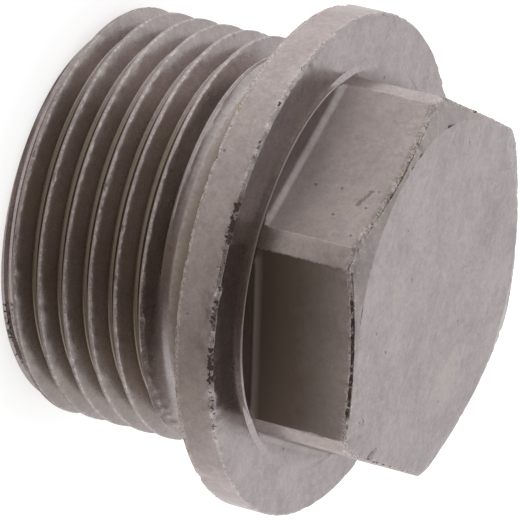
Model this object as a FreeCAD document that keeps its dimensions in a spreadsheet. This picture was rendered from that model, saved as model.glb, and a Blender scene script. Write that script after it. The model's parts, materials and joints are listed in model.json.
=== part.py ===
import FreeCAD, Part
import math
import os
import Sketcher

# Magnetic drain plug: a screw plug with a collar and a hexagon head, and a rod magnet in its end.
# It stands on its threaded end. Z = 0 is the end face, and +Z runs up the axis to the head.
# One corner of the hexagon points to -Y, so two of its flats face +X and -X.

doc = FreeCAD.newDocument("drain_plug")


# Driving sizes, in millimetres and degrees
SIZES = {
    "thread_diameter": 22.0,
    "thread_pitch": 1.5,
    "thread_crest_width": 0.2,
    "thread_root_width": 0.24,
    "thread_flank_angle": 30.0,
    "thread_start_drop": 0.79,
    "shank_length": 12.1,
    "end_chamfer": 0.78,
    "neck_relief": 0.23,
    "neck_length": 3.38,
    "neck_corner_bevel": 0.7,
    "neck_shoulder_angle": 30.0,
    "seat_width": 2.5,
    "collar_thickness": 2.2,
    "collar_edge_break": 0.15,
    "ledge_height": 0.25,
    "head_height": 6.0,
    "across_flats": 19.0,
    "flat_depth": 1.15,
    "flat_root_radius": 0.4,
    "face_inset": 0.35,
    "face_chamfer_angle": 15.0,
    "magnet_diameter": 10.0,
    "magnet_length": 8.0,
    "magnet_edge_chamfer": 0.3,
    "magnet_recess": 0.3,
    "magnet_bond_gap": 0.05,
    "bore_mouth_chamfer": 0.4,
}

sheet = doc.addObject("Spreadsheet::Sheet", "Sizes")
for row, (name, value) in enumerate(SIZES.items(), start=1):
    sheet.set(f"A{row}", name)
    sheet.set(f"B{row}", str(value))
    sheet.setAlias(f"B{row}", name)
doc.recompute()


# Slopes, radii and heights that follow from the driving sizes, as expressions on the sheet
FLANK_SLOPE = "tan(Sizes.thread_flank_angle * 1 deg)"
SHOULDER_SLOPE = "tan(Sizes.neck_shoulder_angle * 1 deg)"
FACE_SLOPE = "tan(Sizes.face_chamfer_angle * 1 deg)"

THREAD_RADIUS = "Sizes.thread_diameter / 2"
CREST_TO_ROOT = "(Sizes.thread_pitch - Sizes.thread_crest_width - Sizes.thread_root_width)"
THREAD_DEPTH = f"({CREST_TO_ROOT} / 2 / {FLANK_SLOPE})"
THREAD_ROOT_RADIUS = f"({THREAD_RADIUS} - {THREAD_DEPTH})"
NECK_RADIUS = f"({THREAD_ROOT_RADIUS} - Sizes.neck_relief)"
COLLAR_RADIUS = f"({THREAD_RADIUS} + Sizes.seat_width)"
APOTHEM = "Sizes.across_flats / 2"
HEAD_RADIUS = f"({APOTHEM} + Sizes.flat_depth)"
FACE_RADIUS = f"({APOTHEM} - Sizes.face_inset)"
BORE_RADIUS = "(Sizes.magnet_diameter / 2 + Sizes.magnet_bond_gap)"

BORE_DEPTH = "(Sizes.magnet_recess + Sizes.magnet_length)"
NECK_START = "(Sizes.shank_length - Sizes.neck_length)"
SHOULDER_TOP = f"({NECK_START} + {THREAD_DEPTH} * {SHOULDER_SLOPE} + Sizes.neck_relief * {SHOULDER_SLOPE})"
COLLAR_BACK = "Sizes.shank_length"
COLLAR_FRONT = f"({COLLAR_BACK} + Sizes.collar_thickness)"
LEDGE_TOP = f"({COLLAR_FRONT} + Sizes.ledge_height)"
HEAD_TOP = f"({COLLAR_FRONT} + Sizes.head_height)"
HEAD_SHOULDER = f"({HEAD_TOP} - ({HEAD_RADIUS} - {FACE_RADIUS}) * {FACE_SLOPE})"


def origin_feature(body, role):
    """Return the origin plane or axis of a body that has the given role."""
    return next(item for item in body.Origin.OriginFeatures if item.Role == role)


def new_body(name):
    """Start a sub-part, whose label also names its file."""
    body = doc.addObject("PartDesign::Body", name)
    body.Label = name
    return body


def new_sketch(body, name, plane_role):
    """Lay an empty sketch on one of the body's own origin planes."""
    sketch = body.newObject("Sketcher::SketchObject", name)
    sketch.AttachmentSupport = [(origin_feature(body, plane_role), "")]
    sketch.MapMode = "FlatFace"
    return sketch


def value_of(expression):
    """Work an expression on the sheet out as a plain number."""
    result = sheet.evalExpression(expression)
    return float(getattr(result, "Value", result))


def bind(sketch, constraint, expression):
    """Add a constraint that takes its value from an expression on the sheet."""
    index = sketch.addConstraint(constraint)
    sketch.setExpression(f"Constraints[{index}]", expression)


def place_start(sketch, line, across, up):
    """Tie the start of a sketch line to its distances from the sketch's origin."""
    for direction, axis, expression in (("DistanceX", -2, across), ("DistanceY", -1, up)):
        if expression == "0":
            sketch.addConstraint(Sketcher.Constraint("PointOnObject", line, 1, axis))
        else:
            distance = Sketcher.Constraint(direction, -1, 1, line, 1, value_of(expression))
            bind(sketch, distance, expression)


def draw_outline(sketch, corners):
    """Draw a closed outline of straight lines through corners given as pairs of expressions."""
    points = [FreeCAD.Vector(value_of(across), value_of(up), 0) for across, up in corners]
    count = len(points)
    for index in range(count):
        sketch.addGeometry(Part.LineSegment(points[index], points[(index + 1) % count]))
    for index in range(count):
        sketch.addConstraint(Sketcher.Constraint("Coincident", index, 2, (index + 1) % count, 1))
    for index, (across, up) in enumerate(corners):
        place_start(sketch, index, across, up)


def revolve(body, kind, name, profile):
    """Turn a profile once round the axis, to add metal or to take it away."""
    feature = body.newObject(kind, name)
    feature.Profile = profile
    feature.ReferenceAxis = (profile, ["V_Axis"])
    feature.Angle = 360
    doc.recompute()
    return feature


def ring_edges(feature, radius, height):
    """Name the circular edges of a feature that lie at a radius and a height on the axis."""
    near = 1e-4
    names = []
    for number, edge in enumerate(feature.Shape.Edges, start=1):
        if not isinstance(edge.Curve, Part.Circle):
            continue
        if abs(edge.Curve.Radius - radius) < near and abs(edge.Curve.Center.z - height) < near:
            names.append(f"Edge{number}")
    return names


# The plug: its turned form, from the end face over the thread, neck and collar to the head
plug_body = new_body("plug_body")

turned_profile = new_sketch(plug_body, "turned_profile", "XZ_Plane")
draw_outline(turned_profile, [
    ("0", "0"),
    (f"{THREAD_RADIUS} - Sizes.end_chamfer", "0"),
    (THREAD_RADIUS, "Sizes.end_chamfer"),
    (THREAD_RADIUS, NECK_START),
    (NECK_RADIUS, SHOULDER_TOP),
    (NECK_RADIUS, COLLAR_BACK),
    (f"{COLLAR_RADIUS} - Sizes.collar_edge_break", COLLAR_BACK),
    (COLLAR_RADIUS, f"{COLLAR_BACK} + Sizes.collar_edge_break"),
    (COLLAR_RADIUS, f"{COLLAR_FRONT} - Sizes.collar_edge_break"),
    (f"{COLLAR_RADIUS} - Sizes.collar_edge_break", COLLAR_FRONT),
    (HEAD_RADIUS, COLLAR_FRONT),
    (HEAD_RADIUS, HEAD_SHOULDER),
    (FACE_RADIUS, HEAD_TOP),
    ("0", HEAD_TOP),
])
turned_form = revolve(plug_body, "PartDesign::Revolution", "turned_form", turned_profile)

# The neck runs into the sealing face of the collar with a bevel
neck_bevel = plug_body.newObject("PartDesign::Chamfer", "neck_bevel")
neck_bevel.Base = (turned_form, ring_edges(turned_form, value_of(NECK_RADIUS), value_of(COLLAR_BACK)))
neck_bevel.setExpression("Size", "Sizes.neck_corner_bevel")
doc.recompute()

# Blind flat-bottomed bore for the magnet, with a broken edge at its mouth
bore_profile = new_sketch(plug_body, "bore_profile", "XZ_Plane")
draw_outline(bore_profile, [
    ("0", "0"),
    (f"{BORE_RADIUS} + Sizes.bore_mouth_chamfer", "0"),
    (BORE_RADIUS, "Sizes.bore_mouth_chamfer"),
    (BORE_RADIUS, BORE_DEPTH),
    ("0", BORE_DEPTH),
])
magnet_bore = revolve(plug_body, "PartDesign::Groove", "magnet_bore", bore_profile)


def draw_cutter(sketch):
    """Draw the section of the milling cutter: it goes down the flat, round its corner and out."""
    flat_x = value_of(APOTHEM)
    ledge_z = value_of(LEDGE_TOP)
    corner = value_of("Sizes.flat_root_radius")
    outer_x = value_of(CUTTER_REACH)
    top_z = value_of(CUTTER_TOP)
    centre = FreeCAD.Vector(flat_x + corner, ledge_z + corner, 0)
    flat_top = FreeCAD.Vector(flat_x, top_z, 0)
    flat_foot = FreeCAD.Vector(flat_x, centre.y, 0)
    ledge_start = FreeCAD.Vector(centre.x, ledge_z, 0)
    ledge_end = FreeCAD.Vector(outer_x, ledge_z, 0)
    outer_top = FreeCAD.Vector(outer_x, top_z, 0)
    up = FreeCAD.Vector(0, 0, 1)
    sketch.addGeometry(Part.LineSegment(flat_top, flat_foot))
    sketch.addGeometry(Part.ArcOfCircle(Part.Circle(centre, up, corner), math.pi, 1.5 * math.pi))
    sketch.addGeometry(Part.LineSegment(ledge_start, ledge_end))
    sketch.addGeometry(Part.LineSegment(ledge_end, outer_top))
    sketch.addGeometry(Part.LineSegment(outer_top, flat_top))
    for joined in (
        Sketcher.Constraint("Tangent", 0, 2, 1, 1),
        Sketcher.Constraint("Tangent", 1, 2, 2, 1),
        Sketcher.Constraint("Coincident", 2, 2, 3, 1),
        Sketcher.Constraint("Coincident", 3, 2, 4, 1),
        Sketcher.Constraint("Coincident", 4, 2, 0, 1),
        Sketcher.Constraint("Vertical", 0),
        Sketcher.Constraint("Horizontal", 2),
        Sketcher.Constraint("Vertical", 3),
        Sketcher.Constraint("Horizontal", 4),
    ):
        sketch.addConstraint(joined)
    bind(sketch, Sketcher.Constraint("Radius", 1, corner), "Sizes.flat_root_radius")
    bind(sketch, Sketcher.Constraint("DistanceX", -1, 1, 0, 1, flat_x), APOTHEM)
    bind(sketch, Sketcher.Constraint("DistanceX", -1, 1, 3, 1, outer_x), CUTTER_REACH)
    bind(sketch, Sketcher.Constraint("DistanceY", -1, 1, 3, 1, ledge_z), LEDGE_TOP)
    bind(sketch, Sketcher.Constraint("DistanceY", -1, 1, 3, 2, top_z), CUTTER_TOP)


# The hexagon: one flat is milled down to a thin ledge on the collar, and five more follow it.
# The cutter passes clear of the head on the outside and above.
CUTTER_REACH = f"({HEAD_RADIUS} + Sizes.flat_depth)"
CUTTER_TOP = f"({HEAD_TOP} + Sizes.flat_depth)"

cutter_profile = new_sketch(plug_body, "cutter_profile", "XZ_Plane")
draw_cutter(cutter_profile)

milled_flat = plug_body.newObject("PartDesign::Pocket", "milled_flat")
milled_flat.Profile = cutter_profile
milled_flat.Midplane = True
milled_flat.setExpression("Length", f"2 * {CUTTER_REACH}")
doc.recompute()

hexagon = plug_body.newObject("PartDesign::PolarPattern", "hexagon")
hexagon.Originals = [milled_flat]
hexagon.Axis = (origin_feature(plug_body, "Z_Axis"), [""])
hexagon.Angle = 360
hexagon.Occurrences = 6
plug_body.Tip = hexagon
doc.recompute()

# The thread: one right-hand groove on a helix, with flat crest and root.
# It starts under the end face and runs out in the neck, which is thinner than the thread's root.
# The cutter's mouth stands past the crest by less than would let its turns touch.
GROOVE_START = "(-Sizes.thread_start_drop)"
GROOVE_END = f"({COLLAR_BACK} - Sizes.neck_length / 2)"
MOUTH_STAND_OFF = "(Sizes.thread_crest_width / 2)"
MOUTH_RADIUS = f"({THREAD_RADIUS} + {MOUTH_STAND_OFF})"
ROOT_HALF = "(Sizes.thread_root_width / 2)"
MOUTH_HALF = f"({ROOT_HALF} + ({THREAD_DEPTH} + {MOUTH_STAND_OFF}) * {FLANK_SLOPE})"

groove_profile = new_sketch(plug_body, "groove_profile", "XZ_Plane")
draw_outline(groove_profile, [
    (THREAD_ROOT_RADIUS, f"{GROOVE_START} - {ROOT_HALF}"),
    (MOUTH_RADIUS, f"{GROOVE_START} - {MOUTH_HALF}"),
    (MOUTH_RADIUS, f"{GROOVE_START} + {MOUTH_HALF}"),
    (THREAD_ROOT_RADIUS, f"{GROOVE_START} + {ROOT_HALF}"),
])

thread = plug_body.newObject("PartDesign::SubtractiveHelix", "thread")
thread.Profile = groove_profile
thread.ReferenceAxis = (groove_profile, ["V_Axis"])
thread.Mode = "pitch-height-angle"
thread.setExpression("Pitch", "Sizes.thread_pitch")
thread.setExpression("Height", f"{GROOVE_END} - {GROOVE_START}")
doc.recompute()


# The magnet: a rod with a bevelled outer edge, bonded in the bore with its inner end on the floor
magnet = new_body("magnet")

rod_section = new_sketch(magnet, "rod_section", "XY_Plane")
magnet_diameter = value_of("Sizes.magnet_diameter")
rod_section.addGeometry(Part.Circle(FreeCAD.Vector(), FreeCAD.Vector(0, 0, 1), magnet_diameter / 2))
rod_section.addConstraint(Sketcher.Constraint("Coincident", 0, 3, -1, 1))
bind(rod_section, Sketcher.Constraint("Diameter", 0, magnet_diameter), "Sizes.magnet_diameter")

rod = magnet.newObject("PartDesign::Pad", "rod")
rod.Profile = rod_section
rod.setExpression("Length", "Sizes.magnet_length")
doc.recompute()

rod_edge = magnet.newObject("PartDesign::Chamfer", "rod_edge")
rod_edge.Base = (rod, ring_edges(rod, magnet_diameter / 2, 0.0))
rod_edge.setExpression("Size", "Sizes.magnet_edge_chamfer")
magnet.setExpression("Placement.Base.z", "Sizes.magnet_recess")
doc.recompute()


# Nothing is written unless every object is sound and every cut has taken metal away
for item in doc.Objects:
    if "Invalid" in item.State or "Error" in item.State:
        raise RuntimeError(f"{item.Name} failed: {item.State}")

STEPS = (neck_bevel, magnet_bore, milled_flat, hexagon, thread)
for before, after in zip(STEPS, STEPS[1:]):
    if after.Shape.Volume >= before.Shape.Volume:
        raise RuntimeError(f"{after.Name} cut nothing")

SUB_PARTS = (plug_body, magnet)
for body in SUB_PARTS:
    if body.Shape.isNull() or not body.Shape.isValid():
        raise RuntimeError(f"{body.Label} has no valid shape")

os.makedirs("parts", exist_ok=True)
for body in SUB_PARTS:
    body.Shape.exportStep(f"parts/{body.Label}.step")
    print(body.Label, "faces", len(body.Shape.Faces), "volume", round(body.Shape.Volume, 2))
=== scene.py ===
# %% [markdown]
# # Dressing a magnetic drain plug
# The plug is one piece of steel that was turned and then milled, with a rod magnet in its threaded end.
# The imported model is loaded first, as a fixed frame, and everything below is built around it in metres.
# Nothing that is modelled here may grow past the imported model's box.

# %% Load the frame
import json
import math

import bmesh
import bpy
import numpy as np
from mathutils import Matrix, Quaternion, Vector, noise


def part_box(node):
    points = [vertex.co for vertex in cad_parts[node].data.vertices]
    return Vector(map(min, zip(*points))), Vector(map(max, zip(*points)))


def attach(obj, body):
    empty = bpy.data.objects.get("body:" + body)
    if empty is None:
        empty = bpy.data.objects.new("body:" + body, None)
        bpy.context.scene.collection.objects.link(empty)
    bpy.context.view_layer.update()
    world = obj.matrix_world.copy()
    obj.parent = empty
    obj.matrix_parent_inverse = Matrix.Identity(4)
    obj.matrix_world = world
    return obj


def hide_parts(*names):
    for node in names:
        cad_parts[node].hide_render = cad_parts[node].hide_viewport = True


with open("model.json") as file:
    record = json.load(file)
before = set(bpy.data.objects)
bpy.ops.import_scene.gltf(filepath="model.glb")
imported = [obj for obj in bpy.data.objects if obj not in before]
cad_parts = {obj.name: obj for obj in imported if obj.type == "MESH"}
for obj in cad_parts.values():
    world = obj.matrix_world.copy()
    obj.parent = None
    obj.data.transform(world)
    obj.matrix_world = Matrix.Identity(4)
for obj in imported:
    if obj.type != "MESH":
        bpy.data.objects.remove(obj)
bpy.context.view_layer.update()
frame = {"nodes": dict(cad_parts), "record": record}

# %% [markdown]
# ## Sizes
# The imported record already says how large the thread, the hexagon and the collar are, so those sizes are
# read from it. The rest repeats the part's own sizes in millimetres: the small bevels, the neck and the
# bore. Three sizes are for this file alone: the broken back edge of the collar, the little that the ledge
# under the flats stands out, and the room for the sweep in which the thread's shoulder meets the neck.
# Working in millimetres keeps the numbers readable, and one factor turns them into metres at the end.

# %% Sizes in millimetres
MM = 0.001
MOUNTS = {mount["name"]: mount for mount in frame["record"]["mounts"]}
THREAD_RADIUS = MOUNTS["thread"]["dims"]["r_mm"]
THREAD_END = MOUNTS["thread"]["dims"]["length_mm"]
APOTHEM = MOUNTS["hexagon"]["dims"]["r_mm"]
COLLAR_BACK = MOUNTS["sealing_face"]["pos_m"][2] / MM
COLLAR_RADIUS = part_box("plug_body")[1].x / MM
HEAD_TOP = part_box("plug_body")[1].z / MM
MAGNET_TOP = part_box("magnet")[1].z / MM

PITCH = 1.5
CREST_HALF = 0.1
ROOT_HALF = 0.12
FLANK_ANGLE = math.radians(30)
THREAD_START_DROP = 0.79
END_CHAMFER = 0.78
NECK_RADIUS = 9.852
NECK_BEVEL = 0.7
COLLAR_THICKNESS = 2.2
COLLAR_EDGE = 0.15
BACK_EDGE = 0.05
LEDGE_HEIGHT = 0.25
LEDGE_WIDTH = 0.14
SHOULDER_SWEEP = 0.45
FLAT_DEPTH = 1.15
FLAT_ROOT_RADIUS = 0.4
FACE_INSET = 0.35
FACE_CHAMFER_ANGLE = math.radians(15)
BORE_RADIUS = 5.05
BORE_MOUTH_CHAMFER = 0.4

THREAD_DEPTH = (PITCH / 2 - CREST_HALF - ROOT_HALF) / math.tan(FLANK_ANGLE)
COLLAR_FRONT = COLLAR_BACK + COLLAR_THICKNESS
LEDGE_TOP = COLLAR_FRONT + LEDGE_HEIGHT
HEAD_RADIUS = APOTHEM + FLAT_DEPTH
LEDGE_RADIUS = HEAD_RADIUS + LEDGE_WIDTH
FACE_RADIUS = APOTHEM - FACE_INSET
SHOULDER_LENGTH = (THREAD_RADIUS - NECK_RADIUS) * math.tan(FLANK_ANGLE)
NECK_FOOT = THREAD_END + SHOULDER_LENGTH + SHOULDER_SWEEP
print("thread depth", round(THREAD_DEPTH, 3), "neck from", round(NECK_FOOT, 2), "to", COLLAR_BACK)

# %% [markdown]
# ## Camera
# A long lens far away keeps the ellipses of the collar and the head as flat as they are in a catalogue
# picture. The camera looks down on the standing plug and is rolled by a little more than a right angle, so
# that the plug seems to lie on its side. The lens and the aim are set first, because every later choice of
# tone is judged through them.

# %% Camera
CAMERA_AZIMUTH = math.radians(-87.54)
CAMERA_ELEVATION = math.radians(24.87)
CAMERA_ROLL = math.radians(104.13)
CAMERA_DISTANCE = 293.7
CAMERA_LENS = 386.7
CAMERA_AIM = Vector((0.69, -0.05, 9.98))


def direction(azimuth, elevation):
    """Return the unit vector at an azimuth from +X and an elevation above the floor."""
    level = math.cos(elevation)
    return Vector((level * math.cos(azimuth), level * math.sin(azimuth), math.sin(elevation)))


camera_data = bpy.data.cameras.new("camera")
camera_data.lens = CAMERA_LENS
camera_data.sensor_width = 36.0
camera_data.clip_start = 0.01
camera_data.clip_end = 10.0
camera = bpy.data.objects.new("camera", camera_data)
bpy.context.scene.collection.objects.link(camera)
towards_camera = direction(CAMERA_AZIMUTH, CAMERA_ELEVATION)
camera.rotation_mode = "QUATERNION"
camera.location = (CAMERA_AIM + towards_camera * CAMERA_DISTANCE) * MM
level_view = (-towards_camera).to_track_quat("-Z", "Y")
camera.rotation_quaternion = level_view @ Quaternion((0, 0, 1), CAMERA_ROLL)
bpy.context.scene.camera = camera
print("camera at", [round(value, 4) for value in camera.location])

# %% [markdown]
# ## Shader expressions
# A node tree reads better as arithmetic. The small class below holds one output socket. Python's operators
# on it add the Math nodes, so `1 - mask` or `grain * 0.3` is a line of code and not three boxes and four
# wires. Every other node comes from its one method, `node`, which sets the node's own settings first and
# then its sockets.


# %% Wires that know arithmetic
class Wire:
    """One output socket of a node tree, open to arithmetic."""

    def __init__(self, tree, socket=None):
        self.tree = tree
        self.socket = socket

    def node(self, kind, settings=None, inputs=None, output=0):
        """Add a node, set its settings and then its sockets, and return one of its outputs."""
        made = self.tree.nodes.new(kind)
        for name, setting in (settings or {}).items():
            setattr(made, name, setting)
        for name, value in (inputs or {}).items():
            if isinstance(value, Wire):
                self.tree.links.new(value.socket, made.inputs[name])
            else:
                made.inputs[name].default_value = value
        return Wire(self.tree, made.outputs[output])

    def math(self, operation, first, second):
        """Join two values by one Math node."""
        return self.node("ShaderNodeMath", {"operation": operation}, {0: first, 1: second})

    def __add__(self, other):
        return self.math("ADD", self, other)

    __radd__ = __add__

    def __mul__(self, other):
        return self.math("MULTIPLY", self, other)

    __rmul__ = __mul__

    def __sub__(self, other):
        return self.math("SUBTRACT", self, other)

    def __rsub__(self, other):
        return self.math("SUBTRACT", other, self)

    def at_least(self, other):
        """Return the larger of two values."""
        return self.math("MAXIMUM", self, other)

    def step(self, low, high):
        """Rise smoothly from 0 at low to 1 at high."""
        settings = {"interpolation_type": "SMOOTHSTEP"}
        inputs = {"Value": self, "From Min": low, "From Max": high}
        return self.node("ShaderNodeMapRange", settings, inputs)

    def tint(self, first, second):
        """Mix two colours, with this value as the share of the second."""
        settings = {"data_type": "RGBA"}
        return self.node("ShaderNodeMix", settings, {0: self, 6: first, 7: second}, 2)

    def stretch(self, across, along, up):
        """Scale this place along each axis."""
        settings = {"operation": "MULTIPLY"}
        return self.node("ShaderNodeVectorMath", settings, {0: self, 1: (across, along, up)})


def noise_at(place, scale, detail=3.0, roughness=0.5, distortion=0.0):
    """Return fractal noise around 0.5, with features of about 1 / scale of the unit of the place."""
    inputs = {"Vector": place, "Scale": scale, "Detail": detail, "Roughness": roughness,
              "Distortion": distortion}
    return place.node("ShaderNodeTexNoise", None, inputs)


def start_material(name):
    """Make an empty node material and return it with its tree's wire and output node."""
    material = bpy.data.materials.new(name)
    material.use_nodes = True
    tree = material.node_tree
    tree.nodes.clear()
    return material, Wire(tree), tree.nodes.new("ShaderNodeOutputMaterial")


def finish_material(wire, output, shader):
    """Join the last shader to the material's output."""
    wire.tree.links.new(shader.socket, output.inputs["Surface"])


def place_in_millimetres(wire):
    """Return the object's own coordinates, in millimetres."""
    metres = wire.node("ShaderNodeTexCoord", output=3)
    return metres.stretch(1 / MM, 1 / MM, 1 / MM)


# %% [markdown]
# ## Plug steel
# The real finish is a dull, slightly warm grey: bare steel that was tumbled, oiled and handled. The metal is
# one Principled shader in five layers, each mixed over the one before. Cloudy steel comes first. Over it
# lies a thin brown film of old oil, and with it painted shade, darkest in corners, in the thread and on the
# flats. Then edges and crests are worn light where they rub, and the same lightening paints highlights along
# them. Brown stain lies between them and in one scratch, and last come pits, nicks and black marks. Pits are
# scattered by a cell pattern, while the larger nicks and the scratch have places of their own, because single
# flaws like these are what one plug is known by. A nick is a ball in space and the scratch a thick line, and
# whatever steel they reach takes their colour.

# %% Colours and flaws
STEEL_DARK = (0.285, 0.240, 0.228, 1.0)
STEEL_LIGHT = (0.548, 0.482, 0.487, 1.0)
STEEL_WARM = (0.470, 0.405, 0.335, 1.0)
# The oil colour also paints shade in corners, in the thread's grooves and on the flats.
OIL_AND_SHADE_COLOUR = (0.170, 0.132, 0.082, 1.0)
OIL_AND_SHADE_FLAT_COLOUR = (0.158, 0.126, 0.104, 1.0)
# The worn colour also paints highlights along edges, crests and the thread's end chamfer.
WORN_AND_HIGHLIGHT_COLOUR = (0.720, 0.640, 0.600, 1.0)
STAIN_COLOUR = (0.190, 0.135, 0.092, 1.0)
DIRT_COLOUR = (0.050, 0.034, 0.030, 1.0)
STEEL_ROUGHNESS = 0.27
NICKS = (
    ((-3.32, -9.05, 16.05), 0.10),
    ((-3.48, -8.96, 17.48), 0.07),
    ((-2.75, -9.38, 19.22), 0.07),
    ((-2.02, -9.81, 17.77), 0.08),
    ((-3.70, -8.80, 19.45), 0.06),
    ((-3.66, -12.99, 12.50), 0.08),
    ((2.10, -13.34, 13.98), 0.07),
    ((4.74, -12.64, 12.72), 0.08),
    ((3.91, -4.66, 20.30), 0.10),
    ((3.19, -6.37, 20.30), 0.07),
    ((10.24, 1.22, 14.30), 0.13),
)
SCRATCH = ((-2.83, -9.34, 18.72), (-3.61, -8.88, 19.09), 0.11)


def painted(wire, name):
    """Return a mask that was painted on the mesh's vertices."""
    return wire.node("ShaderNodeAttribute", {"attribute_name": name}, output=2)


def near_spots(place, spots, ragged):
    """Return a mask that is 1 near any of the spots, each a point and a reach in millimetres."""
    found = 0.0
    for spot, reach in spots:
        away = place.node("ShaderNodeVectorMath", {"operation": "DISTANCE"}, {0: place, 1: spot}, 1)
        found = (1 - (away * (1 / reach) + ragged).step(0.75, 1.25)).at_least(found)
    return found


def near_line(place, start, finish, reach, ragged):
    """Return a mask that is 1 near the straight line between two points."""
    along = Vector(finish) - Vector(start)
    from_start = place.node("ShaderNodeVectorMath", {"operation": "SUBTRACT"}, {0: place, 1: start})
    scaled = tuple(along / along.length_squared)
    share = place.node("ShaderNodeVectorMath", {"operation": "DOT_PRODUCT"}, {0: from_start, 1: scaled}, 1)
    share = place.node("ShaderNodeClamp", None, {"Value": share})
    nearest = place.node("ShaderNodeVectorMath", {"operation": "SCALE"}, {0: tuple(along), "Scale": share})
    away = place.node("ShaderNodeVectorMath", {"operation": "DISTANCE"}, {0: from_start, 1: nearest}, 1)
    return 1 - (away * (1 / reach) + ragged).step(0.6, 1.3)


print("nicks", len(NICKS), "scratch length", round((Vector(SCRATCH[1]) - Vector(SCRATCH[0])).length, 2))

# %% [markdown]
# ## The steel's node tree
# Five masks are painted on the mesh as it is made: `edge` for outer edges, `crest` for the thread's crests,
# `grime` for black marks, one for the oil film and the painted shade, and `milled` for the flats. The shader
# reads them by name. Fractal noise of five sizes makes clouds, blotches and grain, and a stretched one makes
# the long strokes of the tumbling. Blotch and grain are added to a mask before a steep step, so the borders of
# worn and highlit edges, stain and marks follow the noise and none is a clean line. The film and the painted
# shade just fade. The dark flaws that colour the steel also roughen it and press it in, through one bump.


# %% Plug steel
def plug_steel():
    """Make the tumbled steel of the plug's body."""
    material, wire, output = start_material("plug_steel")
    place = place_in_millimetres(wire)
    broad = noise_at(place, 0.35, 3.0)
    cloud = noise_at(place, 1.5, 5.0, 0.62, 0.4)
    blotch = noise_at(place, 3.2, 3.0, 0.65, 0.6)
    grain = noise_at(place, 9.0, 3.0, 0.6)
    speck = noise_at(place, 22.0, 2.0, 0.6)
    strokes = noise_at(place.stretch(0.30, 1.0, 1.0), 5.0, 2.0, 0.6, 0.3)
    edge = painted(wire, "edge")
    crest = painted(wire, "crest")
    grime = painted(wire, "grime")
    oiled = painted(wire, "oiled")
    milled = painted(wire, "milled")

    cells = place.node("ShaderNodeTexVoronoi", {"feature": "F1"}, {"Vector": place, "Scale": 0.9})
    chance = place.node("ShaderNodeTexVoronoi", {"feature": "F1"}, {"Vector": place, "Scale": 0.9}, 1)
    chosen = chance.node("ShaderNodeSeparateColor", None, {"Color": chance}).step(0.80, 0.95)
    pits = (1 - (cells + grain * 0.12).step(0.09, 0.17)) * chosen
    uneven = (grain + blotch - 1.0) * 1.8
    nicks = near_spots(place, NICKS, uneven)
    scratch = near_line(place, *SCRATCH, uneven)
    ragged = cloud * 0.4 + grain * 0.8 + blotch * 0.8 - 0.5
    blobs = blotch * 1.5 + grain * 0.4 - 0.45
    # Worn edges and crests are lightened: partly wear, partly painted highlight.
    wear_and_highlight = (edge.at_least(crest * 0.92) + ragged - 1.0).step(0.38, 0.56)
    stained = (edge + blobs - 1.0).step(0.52, 0.66)
    dirt = (grime + blobs - 1.0).step(0.28, 0.42)
    dark = dirt.at_least(pits.at_least(nicks) * 0.5)

    tone = broad * 0.25 + cloud * 0.25 + blotch * 0.28 + grain * 0.22 + strokes.step(0.62, 0.75) * 0.10
    warm = (broad * 0.4 + blotch * 0.6).step(0.50, 0.66) * 0.6
    steel = warm.tint(tone.step(0.22, 0.80).tint(STEEL_DARK, STEEL_LIGHT), STEEL_WARM)
    # The oil mask is a thin oil film plus painted shade in corners, grooves and on the flats.
    film_and_shade = oiled * 0.45 + oiled * cloud * 0.3
    oil_and_shade_tone = milled.tint(OIL_AND_SHADE_COLOUR, OIL_AND_SHADE_FLAT_COLOUR)
    worn_and_highlit = (wear_and_highlight * 0.6).tint(film_and_shade.tint(steel, oil_and_shade_tone), WORN_AND_HIGHLIGHT_COLOUR)
    brown = (stained * 0.6).at_least(scratch * 0.65)
    colour = dark.tint(brown.tint(worn_and_highlit, STAIN_COLOUR), DIRT_COLOUR)
    roughness = STEEL_ROUGHNESS + milled * 0.15 + dark * 0.35 - cloud * 0.05 + grain * 0.08 + crest * 0.1
    height = grain * 0.5 + cloud * 0.7 + speck * 0.2 + blotch * edge * 1.5 - dark * 1.2 - scratch
    bump = wire.node("ShaderNodeBump", None, {"Strength": 0.15, "Distance": 0.05 * MM, "Height": height})
    shader = wire.node("ShaderNodeBsdfPrincipled", None, {
        "Base Color": colour,
        "Metallic": 1.0 - dark * 0.8 - wear_and_highlight * 0.15,
        "Roughness": roughness,
        "Specular IOR Level": 0.2,
        "Specular Tint": (0.80, 0.78, 0.78, 1.0),
        "Normal": bump,
    })
    finish_material(wire, output, shader)
    return material


STEEL = plug_steel()
print("plug steel nodes", len(STEEL.node_tree.nodes))

# %% [markdown]
# ## Magnet plating
# The magnet's face is thin nickel over a sintered rod, brighter and cooler than the plug. It has dull streaks
# and a fine grain, because such a face has steel filings wiped off it for years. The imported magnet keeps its
# own mesh and only gets this finish.

# %% Magnet plating
NICKEL = (0.60, 0.59, 0.56, 1.0)
NICKEL_DULL = (0.34, 0.33, 0.32, 1.0)


def magnet_plating():
    """Make the worn nickel of the magnet."""
    material, wire, output = start_material("magnet_plating")
    place = place_in_millimetres(wire)
    wiped = noise_at(place.stretch(1.0, 6.0, 1.0), 1.2, 4.0, 0.6)
    grain = noise_at(place, 14.0, 3.0, 0.6)
    dull = wiped.step(0.45, 0.70)
    height = grain + wiped * 0.5
    bump = wire.node("ShaderNodeBump", None, {"Strength": 0.15, "Distance": 0.03 * MM, "Height": height})
    shader = wire.node("ShaderNodeBsdfPrincipled", None, {
        "Base Color": (dull * 0.7 + grain * 0.3).tint(NICKEL, NICKEL_DULL),
        "Metallic": 1.0,
        "Roughness": 0.28 + dull * 0.18 + grain * 0.08,
        "Normal": bump,
    })
    finish_material(wire, output, shader)
    return material


magnet = frame["nodes"]["magnet"]
magnet.data.materials.clear()
magnet.data.materials.append(magnet_plating())
print("magnet slots", len(magnet.material_slots))

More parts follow.
